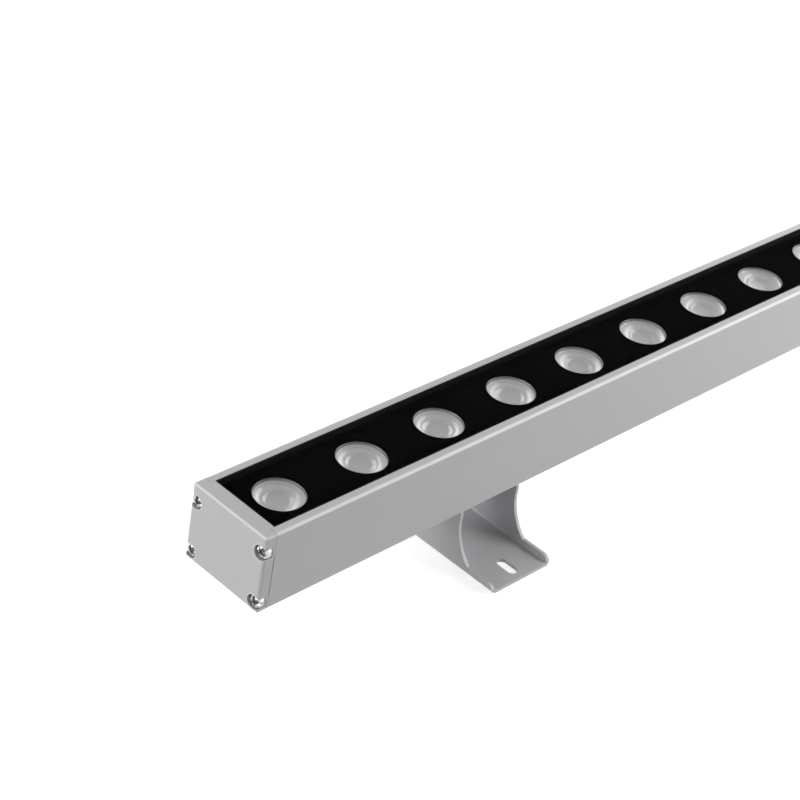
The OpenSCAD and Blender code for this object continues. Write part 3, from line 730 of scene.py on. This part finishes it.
# %% A pan head screw
def pan_screw(head_r, head_h, crown, shank_r, length):
    """A screw about its own axis: head on height 0, shank down to -length. The dome falls as r squared,
    and the cross is as deep as the share that |x| and |y| lie inside each bar."""
    lead = 0.45 * shank_r
    dome_r = np.linspace(0, 0.62 * head_r, 26)
    dome = points_at(dome_r, head_h - 0.93 * crown * (dome_r / head_r) ** 2)
    shoulder = (0.55 * head_r, head_h - 0.28 * crown)
    side = [shoulder, (head_r, head_h - crown), (head_r, 0), (shank_r, 0)]
    outer = eased(side, 0.12 * head_r, 6)[1:]
    section = np.concatenate([dome, outer, shank_rows(shank_r, 0, -length, lead), [(0, -length)]])
    grid = lathe(section, 56)
    x, y = np.abs(grid[..., 0]), np.abs(grid[..., 1])
    bar_w, bar_l, slant = 0.16 * head_r, 0.56 * head_r, 0.12 * head_r
    inside = np.clip((bar_w + slant - np.minimum(x, y)) / slant, 0, 1)
    inside *= np.clip((bar_l + slant - np.maximum(x, y)) / slant, 0, 1)
    cross_depth = 0.45 * head_r * (1 - 0.35 * np.hypot(x, y) / head_r)
    grid[..., 2] -= inside * (grid[..., 2] > 0.4 * head_h) * cross_depth
    return threaded(grid, shank_r, -length, -lead, lead, 0.14 * shank_r)


def screw_set(name, screw, places, up, finish, replaced):
    """One piece from the same screw stood at several places, turned by four angles in turn."""
    turns = np.resize(np.radians([20, 65, 40, 5]), len(places))
    grids = [placed(screw, place, up(place), turn) for place, turn in zip(places, turns)]
    make_piece(name, all_faces(grids), finish, replaced)


# %% The cap screws
pocket_floor = end_x - pocket_depth
cap_places = [(x, y, z) for x in both(pocket_floor) for y in both(screw_y) for z in screw_heights]
cap_screw = pan_screw(2.9 * mm, head_h=3.5 * mm, crown=0.9 * mm, shank_r=1.5 * mm, length=12 * mm)
screw_set("cap_screws", cap_screw, cap_places, lambda place: (np.sign(place[0]), 0, 0), screw_steel,
          "end_cap_screws")

# %% The light boards' screws, between lenses
board_head_r = 2.3 * mm
board_screw_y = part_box("light_board_screws")[1].y - board_head_r
screwed_gaps = (0, 3, 9, 12)  # counted from the near end
board_screw_x = [lens_x[i] + lens_pitch / 2 for i in screwed_gaps]
board_places = [(x, y, board_top) for x in board_screw_x for y in both(board_screw_y)]
board_screw = pan_screw(board_head_r, 1.75 * mm, crown=0.7 * mm, shank_r=1.25 * mm, length=3.4 * mm)
screw_set("board_pan_screws", board_screw, board_places, lambda place: (0, 0, 1), steel,
          "light_board_screws")

# %% The hinge blocks' screws, which go up into the housing
block_low, block_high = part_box("hinge_block_far")
bracket_x = (block_low.x + block_high.x) / 2
plate_t, reach = 3 * mm, 9 * mm
plate_z = block_high.z - plate_t
block_places = [(x + dx, y, plate_z)
                for x in both(bracket_x) for dx in both(reach) for y in both(reach)]
block_screw = pan_screw(3.4 * mm, head_h=2.15 * mm, crown=0.9 * mm, shank_r=2.0 * mm, length=6.2 * mm)
screw_set("block_pan_screws", block_screw, block_places, lambda place: (0, 0, -1), steel,
          "hinge_block_screws")

# %% [markdown]
# ## Hexagons
#
# A nut is a hexagon cut back by a cone, which is what rounds its corners towards each face. So
# its grid is a lathe again, whose radius is the lesser of the cone's and the hexagon's, and the
# curved line where the two meet comes by itself.

# %% Turn a section and cut its hexagon
def hex_lathe(section, flats):
    """A lathe over (radius, height, is_hex) points. Where is_hex is 1 the radius is the lesser of its
    own and the hexagon's: flats / 2 over the cosine of the angle from the nearest flat's middle."""
    a = np.linspace(0, full_turn, 96, endpoint=False)[None, :]
    off = (a + full_turn / 12) % (full_turn / 6) - full_turn / 12
    r, h, is_hex = section.T[:, :, None]
    r = np.where(is_hex > 0.5, np.minimum(r, flats / 2 / np.cos(off)), r)
    return np.stack([r * np.cos(a), r * np.sin(a), h + 0 * a], -1)


def hex_rows(flats, low, high):
    """Outer rows of a chamfered hexagon. The cone starts just inside the flats at each face and
    widens with the depth below it, so the corners fall away and the flats' middles stay."""
    chamfer_slope = 0.3
    h = np.linspace(low, high, 12)
    from_face = np.minimum(h - low, high - h)
    return np.stack([0.97 * flats / 2 + from_face / chamfer_slope, h, np.ones_like(h)], -1)


def plain_rows(points):
    """Section points that no hexagon cuts."""
    points = np.asarray(points, float)
    return np.concatenate([points, np.zeros((len(points), 1))], -1)


def hex_nut(flats, low, high, bore_r):
    """A chamfered nut with its bore eased at both faces."""
    ease = 0.35 * mm
    bore = [(bore_r + ease, high), (bore_r, high - ease), (bore_r, low + ease), (bore_r + ease, low)]
    return hex_lathe(np.concatenate([hex_rows(flats, low, high), plain_rows(bore)]), flats)


# %% The pivot bolts and their nuts
bolt_low, bolt_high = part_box("pivot_bolts")
pivot_z = (bolt_low.z + bolt_high.z) / 2
bolt_head_h, bolt_r, pivot_flats = 4 * mm, 3 * mm, 10 * mm
bolt_seat = bolt_high.x - bolt_head_h
shank_end, bolt_tip = -43.7 * mm, 0.6 * mm
plain_end = 0.4 * shank_end
bolt_lead = 1.0 * mm
bolt_section = np.concatenate([
    plain_rows([(0, bolt_head_h), (0.9 * pivot_flats / 2, bolt_head_h)]),
    hex_rows(pivot_flats, 0, bolt_head_h)[::-1],
    plain_rows([(bolt_r, 0), (bolt_r, plain_end)]),
    plain_rows(shank_rows(bolt_r, plain_end, shank_end + bolt_tip, bolt_lead)),
    plain_rows([(bolt_r - bolt_tip, shank_end), (0, shank_end)]),
])
bolt = hex_lathe(bolt_section, pivot_flats)
bolt = threaded(bolt, bolt_r, shank_end, 0.45 * shank_end, bolt_lead, 0.3 * mm)


def on_pivots(grid, x):
    """A grid stood on the pivot's line at -x and at x, each time facing outwards."""
    return [placed(grid, (side * x, 0, pivot_z), (side, 0, 0), full_turn / 12) for side in (-1, 1)]


make_piece("hex_pivot_bolts", all_faces(on_pivots(bolt, bolt_seat)), steel,
           "pivot_bolts", body="brackets")
nut_end, nut_h, nut_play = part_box("pivot_nuts")[1].x, 5 * mm, 0.05 * mm
nut = hex_nut(pivot_flats, -nut_h, 0, bolt_r + nut_play)
make_piece("hex_pivot_nuts", all_faces(on_pivots(nut, nut_end), rings=True), steel,
           "pivot_nuts", body="brackets")

# %% [markdown]
# ## The cable gland
#
# The gland screws up into the housing's floor near the far end. Its collar is a hexagon for a
# spanner and its dome nut is fluted for the fingers: twelve shallow scoops, cut where a cosine
# of twelve times the angle is high, and fading out over the cone.

# %% The gland's body and lock nut
gland_low, gland_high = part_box("gland_body")
gland_x = (gland_low.x + gland_high.x) / 2
dome_low, dome_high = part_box("gland_dome_nut")
washer_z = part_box("gland_washer")[0].z
gland_r, cable_r, gland_flats, gland_lead = 6 * mm, 3.1 * mm, 15 * mm, 1.5 * mm
bush_room_r, gland_tip = 4.5 * mm, 0.5 * mm


def gland_piece(name, grid, replaced):
    """A ring-shaped grid made a black piece on the gland's axis."""
    surfaces = all_faces([placed(grid, (gland_x, 0, 0))], rings=True)
    make_piece(name, surfaces, nylon, replaced)


gland_section = np.concatenate([
    plain_rows([(cable_r, gland_high.z), (gland_r - gland_tip, gland_high.z)]),
    plain_rows(shank_rows(gland_r, gland_high.z - gland_tip, washer_z, gland_lead)),
    hex_rows(gland_flats, dome_high.z, washer_z)[::-1],
    plain_rows(shank_rows(gland_r, dome_high.z, gland_low.z + gland_tip, gland_lead)),
    plain_rows([(gland_r - gland_tip, gland_low.z), (bush_room_r, gland_low.z)]),
    plain_rows([(bush_room_r, dome_high.z), (cable_r, dome_high.z)]),
])
gland_grid = hex_lathe(gland_section, gland_flats)
gland_grid = threaded(gland_grid, gland_r, gland_low.z, gland_high.z, gland_lead, 0.5 * mm)
gland_piece("threaded_gland", gland_grid, "gland_body")
lock_low, lock_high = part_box("gland_lock_nut")
gland_piece("hex_lock_nut", hex_nut(gland_flats, lock_low.z, lock_high.z, gland_r + nut_play),
            "gland_lock_nut")

# %% The fluted dome nut
grip_r = dome_high.x - gland_x
cone_end = dome_high.z - 5.4 * mm
tip_r, tip_t = 5 * mm, 1.6 * mm
bore_r, shoulder_z = gland_r + nut_play, gland_low.z - 0.1 * mm
outer_wall = eased([(cable_r, dome_low.z), (tip_r, dome_low.z), (grip_r, cone_end),
                    (grip_r, dome_high.z), (bore_r, dome_high.z)], 0.8 * mm, 8)
inner_wall = [(bore_r, shoulder_z), (bush_room_r, shoulder_z), (bush_room_r, dome_low.z + tip_t),
              (cable_r, dome_low.z + tip_t)]
grip_z = np.linspace(cone_end, dome_high.z - 0.9 * mm, 14)
at = np.searchsorted(outer_wall[:, 1], cone_end + 0.2 * mm)
grip = points_at(grip_r, grip_z)
dome = lathe(np.concatenate([outer_wall[:at], grip, outer_wall[at:], inner_wall]), 144)
dome_r = np.hypot(dome[..., 0], dome[..., 1])
flutes, flute_depth = 12, 0.07
flute = np.clip(np.cos(flutes * np.arctan2(dome[..., 1], dome[..., 0])), 0, 1)
flute *= np.clip((dome_r - 0.9 * grip_r) / (0.1 * grip_r), 0, 1)
flute *= np.clip((dome_high.z - 0.5 * mm - dome[..., 2]) / (0.8 * mm), 0, 1)
dome[..., :2] *= (1 - flute_depth * flute)[..., None]
gland_piece("fluted_dome_nut", dome, "gland_dome_nut")

# %% [markdown]
# ## The driver's parts
#
# These show only when the light is opened, yet they are what makes it one. Moulded bodies are
# boxes whose edges are pieces of a ball: each point of a ball is moved out by the box's half
# size in its own eighth of space, so a ball of radius r is pulled apart into a rounded box.

# %% A rounded box
def rounded_box(low, high, r):
    """Each corner point is the centre + sign x (half size - r) + r x the ball's direction."""
    steps = 4
    low, high = np.array([low, high], float)
    half, centre = (high - low) / 2 - r, (high + low) / 2
    quarter = np.linspace(0, full_turn / 4, steps)
    a = np.concatenate([quarter + q * full_turn / 4 for q in range(4)])[None, :]
    sign_x = np.repeat([1, -1, -1, 1], steps)[None, :]
    sign_y = np.repeat([1, 1, -1, -1], steps)[None, :]
    e = np.concatenate([quarter - full_turn / 4, quarter])[:, None]
    sign_z = np.repeat([-1, 1], steps)[:, None]
    x = sign_x * half[0] + r * np.cos(e) * np.cos(a)
    y = sign_y * half[1] + r * np.cos(e) * np.sin(a)
    z = sign_z * half[2] + r * np.sin(e) + 0 * a
    grid = np.stack([x, y, z], -1)
    bottom, top = [np.full_like(grid[:1], (0, 0, end)) for end in both(half[2] + r)]
    return grid_faces(np.concatenate([bottom, grid, top]) + centre)


def ribbon(path, thickness, y, width):
    """A flat leg: the path in X and Z, thickened downwards and drawn out in Y by the width."""
    x, z = np.concatenate([path, (path - (0, thickness))[::-1]]).T
    rows = [np.stack([x, np.full_like(x, y + dy), z], -1) for dy in both(width / 2)]
    ends = [np.broadcast_to(row.mean(0), row.shape) for row in rows]
    return grid_faces(np.stack([ends[0], rows[0], rows[1], ends[1]]))


# %% The driver chips with their pins
driver_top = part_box("driver_board")[1].z
part_count, part_pitch = 3, 34 * mm
package_w, pin_l = 10 * mm, 1.2 * mm
pin_in = np.array([1.3, 0.8, 0.6, 0]) * mm  # from a pin's tip, inwards
pin_up = np.array([0.8, 0.8, 0.2, 0.2]) * mm  # over the board
package_low, package_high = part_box("driver_chips")
packages, pins = [], []
for i in range(part_count):
    x0 = package_low.x + i * part_pitch
    x1 = x0 + package_w
    packages.append(rounded_box((x0 + pin_l, package_low.y, driver_top + 0.15 * mm),
                                (x1 - pin_l, package_high.y, package_high.z), 0.2 * mm))
    for side, tip in ((-1, x0), (1, x1)):
        bent = points_at(tip - side * pin_in, driver_top + pin_up)
        for y in np.linspace(package_low.y + 0.9 * mm, package_high.y - 0.9 * mm, 4):
            pins.append(ribbon(bent, 0.18 * mm, y, 0.42 * mm))
make_piece("chip_packages", packages, chip_plastic, "driver_chips")
make_piece("chip_legs", pins, solder)


# %% The wound coils
def driver_row(grid, low, r, y, turn=0.0):
    """The grid stood in a row from the first one's low corner, each turned a little more."""
    return [placed(grid, (low.x + r + i * part_pitch, y, low.z), turn=i * turn)
            for i in range(part_count)]


coil_r, coil_h = 5 * mm, coil_high.z - coil_low.z
core_r, lid_h = coil_r - coil_lip, coil_h - coil_lip
windings, winding_w, winding_in = 8, 0.25 * mm, 0.75 * mm
wave = np.abs(np.sin(np.linspace(0, windings * np.pi, 6 * windings + 1)))
winding_h = np.linspace(coil_lip + blend_w, lid_h - blend_w, len(wave))
coil_section = np.concatenate([
    eased([(0, 0), (coil_r, 0), (coil_r, coil_lip), (core_r, coil_lip)], 0.2 * mm),
    points_at(coil_r - winding_in + winding_w * wave, winding_h),
    eased([(core_r, lid_h), (coil_r, lid_h), (coil_r, coil_h), (0, coil_h)], 0.2 * mm),
])
coils = driver_row(lathe(coil_section, 48), coil_low, coil_r, (coil_low.y + coil_high.y) / 2)
make_piece("wound_coils", all_faces(coils), coil_finish, "driver_coils")

# %% The capacitors: a beaded foot, a rolled rim and a cross scored in the lid
can_r, can_h = 3.15 * mm, can_high.z - can_low.z
score_w, score_depth = 0.25 * mm, 0.15 * mm
lid_r = np.linspace(0, can_r - 0.5 * mm, 18)
can_section = np.concatenate([
    points_at(lid_r, can_h - 0.15 * mm),
    eased([(can_r - 0.4 * mm, can_h), (can_r, can_h), (can_r, 1.5 * mm), (can_r - 0.35 * mm, 1.2 * mm),
           (can_r, 0.9 * mm), (can_r, 0), (0, 0)], 0.3 * mm, 6),
])
can = lathe(can_section, 64)
across, over = np.abs(can[..., :2]), can[..., 2]
scored = np.clip(1 - across.min(-1) / score_w, 0, 1)
scored *= (over > can_h - 0.2 * mm) & (np.hypot(across[..., 0], across[..., 1]) < 0.7 * can_r)
can[..., 2] -= score_depth * scored
make_piece("vented_capacitors", all_faces(driver_row(can, can_low, can_r, 0, 0.4)),
           capacitor_finish, "driver_capacitors")

# %% The cable terminal with its three screws
terminal_low, terminal_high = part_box("cable_terminal")
pole_count, pole_gap = 3, 0.1 * mm
pole_w = (terminal_high.y - terminal_low.y) / pole_count
block_top = terminal_high.z - 0.5 * mm
terminal_x = (terminal_low.x + terminal_high.x) / 2
pole_screw_r, slot_w = 1.7 * mm, 0.25 * mm
face_r = np.linspace(0, pole_screw_r - 0.2 * mm, 14)
pole_screw = lathe(np.concatenate([
    points_at(face_r, 0.5 * mm),
    [(pole_screw_r, 0.3 * mm), (pole_screw_r, -0.4 * mm), (0, -0.4 * mm)],
]), 40)
in_slot = np.clip(1.6 - np.abs(pole_screw[..., 0]) / slot_w, 0, 1)
pole_screw[..., 2] -= 0.45 * mm * in_slot * (pole_screw[..., 2] > 0.4 * mm)
poles, pole_screws = [], []
for i in range(pole_count):
    y0 = terminal_low.y + i * pole_w
    poles.append(rounded_box((terminal_low.x, y0 + pole_gap / 2, terminal_low.z),
                             (terminal_high.x, y0 + pole_w - pole_gap / 2, block_top), 0.25 * mm))
    pole_screws.append(placed(pole_screw, (terminal_x, y0 + pole_w / 2, block_top), turn=0.5 * i))
make_piece("terminal_poles", poles, terminal_plastic, "cable_terminal")
make_piece("terminal_screws", all_faces(pole_screws), solder)

# %% The header, with a collar round each wire
header_low, header_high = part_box("driver_header")
ferrule_r, ferrule_h = 0.95 * mm, 0.5 * mm
ferrule_section = [(0, -ferrule_h), (ferrule_r, -ferrule_h), (ferrule_r, 0), (0, 0)]
ferrule = lathe(eased(ferrule_section, 0.15 * mm), 24)
wire_sides = both(1.6 * mm)
header_top = (header_high.x, header_high.y, header_high.z - 0.4 * mm)
header_places = [(x, y, header_high.z) for x in both(1.2 * mm) for y in wire_sides]
header = [rounded_box(header_low, header_top, 0.3 * mm)]
header += all_faces([placed(ferrule, place) for place in header_places])
make_piece("collared_header", header, white_nylon, "driver_header")

# %% The boards' connectors, each with a latch
connector_low, connector_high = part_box("board_connectors")
connector_l, latch_half = 4 * mm, 1.2 * mm
wire_z = (connector_low.z + connector_high.z) / 2
connectors = []
for side in (-1, 1):
    outer, inner = side * connector_high.x, side * (connector_high.x - connector_l)
    left, right = sorted((outer, inner + side * 0.4 * mm))
    latch_left, latch_right = sorted((outer - side * 0.6 * mm, outer - side * 2.6 * mm))
    connectors += [
        rounded_box((left, connector_low.y, connector_low.z),
                    (right, connector_high.y, connector_high.z - 0.3 * mm), 0.25 * mm),
        rounded_box((latch_left, -latch_half, connector_high.z - 0.6 * mm),
                    (latch_right, latch_half, connector_high.z), 0.14 * mm),
    ]
    connectors += all_faces([placed(ferrule, (inner, y, wire_z), (-side, 0, 0)) for y in wire_sides])
make_piece("latched_connectors", connectors, white_nylon, "board_connectors")

# %% [markdown]
# ## Dress the CAD nodes
#
# The record names a slot for each node, so one table from slot to finish dresses them all. Only
# the housing and the hinge blocks differ: they are extruded, so their lines run along the light.

# %% Give each node the finish of its slot
slot_finishes = {
    "light_grey_aluminium": cap_coat,
    "bracket_sheet": bracket_coat,
    "stainless_steel": steel,
    "clear_glass": glass,
    "black_sealant": sealant,
    "black_mask": mask_print,
    "lens_plastic": lens_plastic,
    "chip_phosphor": chip,
    "white_board": white_board,
    "green_board": green_board,
    "black_plastic": nylon,
    "coil_ferrite": coil_finish,
    "capacitor_can": capacitor_finish,
    "wire_insulation": wire_finish,
    "grey_gasket": gasket,
    "black_rubber": rubber,
}
subparts = frame["record"]["subparts"]
node_finishes = {part["node"]: slot_finishes[part["material_slot"]] for part in subparts}
for name in ("housing", "hinge_block_near", "hinge_block_far"):
    node_finishes[name] = extrusion_coat
for name, finish in node_finishes.items():
    for slot in nodes[name].material_slots:
        slot.material = finish.material
print("Dressed", len(node_finishes), "nodes by", len(slot_finishes), "slots")

# %% [markdown]
# ## Floor, lamps and camera
#
# The picture was taken on white paper that shows no shadow to speak of. The floor is a plain
# pale surface, and only to the camera and in reflections does it glow a little, so that it
# reads as white and still keeps a trace of the shadow. Farther out it glows fully, so that the
# paper has no visible end.

# %% The floor
def shows_background(network):
    """1 for a ray from the camera, off something glossy or through glass, and 0 for lamp light."""
    ray = network.node("ShaderNodeLightPath", output="Is Camera Ray")
    return largest(ray, ray.output("Is Glossy Ray"), ray.output("Is Transmission Ray"))


floor_finish = Finish("pale_floor")
floor_x, floor_y, _ = axes(floor_finish)
near_glow, glow_grows, glow_full = 0.72, 0.35, 0.8
far_out = between(hypot(floor_x, floor_y), glow_grows, glow_full)
glow = (near_glow + (1 - near_glow) * far_out) * shows_background(floor_finish)
floor_finish.wear(
    Base_Color=grey(208),
    Roughness=0.9,
    Specular_IOR_Level=0.0,
    Emission_Color=blend(glow, grey(0), grey(255)),
    Emission_Strength=1.0,
)

floor_half = 1.5
floor_mesh = bpy.data.meshes.new("floor")
floor_corners = floor_half * np.array([(-1, -1, 0), (1, -1, 0), (1, 1, 0), (-1, 1, 0)])
floor_mesh.from_pydata(floor_corners.tolist(), [], [(0, 1, 2, 3)])
floor_mesh.materials.append(floor_finish.material)
add_object("floor", floor_mesh)

# %% The world, white to look at but dim as a light
world = bpy.data.worlds.new("studio")
bpy.context.scene.world = world
world.use_nodes = True
sky = Network(world.node_tree)
sky_light = 0.13
strength = sky_light + (1 - sky_light) * shows_background(sky)
sky.connect(sky.tree.nodes["Background"], {"Color": grey(255), "Strength": strength})

# %% [markdown]
# Two broad lamps give the studio's soft light. Two tall narrow ones stand behind the object and
# lean apart, and the dishes of the lenses mirror them as the streaks in the picture.

# %% The lamps
aim = np.array([-0.14, 0.0, 0.05])  # over the near half of the light


def stand(thing, right, up, back, place):
    """Stands an object at a place: its three directions and the place are its matrix's columns."""
    rows = np.stack([right, up, back, place], -1).tolist()
    thing.matrix_world = Matrix([*rows, (0, 0, 0, 1)])


def lamp(name, azimuth, elevation, distance, width, height, radiance, lean=0):
    """A soft lamp that faces `aim`, leaned by some degrees. Its power is pi x area x radiance."""
    a, e, turn = np.radians([azimuth, elevation, lean])
    back = np.array([np.cos(a) * np.cos(e), np.sin(a) * np.cos(e), np.sin(e)])
    side = np.cross((0, 0, 1), back)
    side /= np.linalg.norm(side)
    up = np.cross(back, side)
    c, s = np.cos(turn), np.sin(turn)
    data = bpy.data.lights.new(name, "AREA")
    data.shape = "RECTANGLE"
    data.size, data.size_y = width, height
    data.energy = np.pi * width * height * radiance
    stand(add_object(name, data), c * side + s * up, c * up - s * side, back, aim + back * distance)


strip = {"elevation": 26, "distance": 1.6, "width": 0.26, "height": 2.0, "radiance": 3.7}
lamp("key_lamp", azimuth=160, elevation=21, distance=1.4, width=1.1, height=0.8, radiance=4.95)
lamp("fill_lamp", azimuth=321, elevation=22, distance=1.1, width=0.9, height=0.7, radiance=4.9)
lamp("right_back_lamp", azimuth=18, lean=28, **strip)
lamp("left_back_lamp", azimuth=63, lean=-28, **strip)

# %% The camera, where the picture's windows and long edges put it
camera_data = bpy.data.cameras.new("camera")
camera_data.sensor_width, camera_data.lens = 36, 96.51
camera = add_object("camera", camera_data)
stand(
    camera,
    right=(0.70519, -0.69299, 0.1499),
    up=(0.30372, 0.48629, 0.81932),
    back=(-0.64067, -0.53225, 0.5534),
    place=(-0.71877, -0.42224, 0.52256),
)
bpy.context.scene.camera = camera
bpy.context.scene.view_settings.view_transform = "Standard"
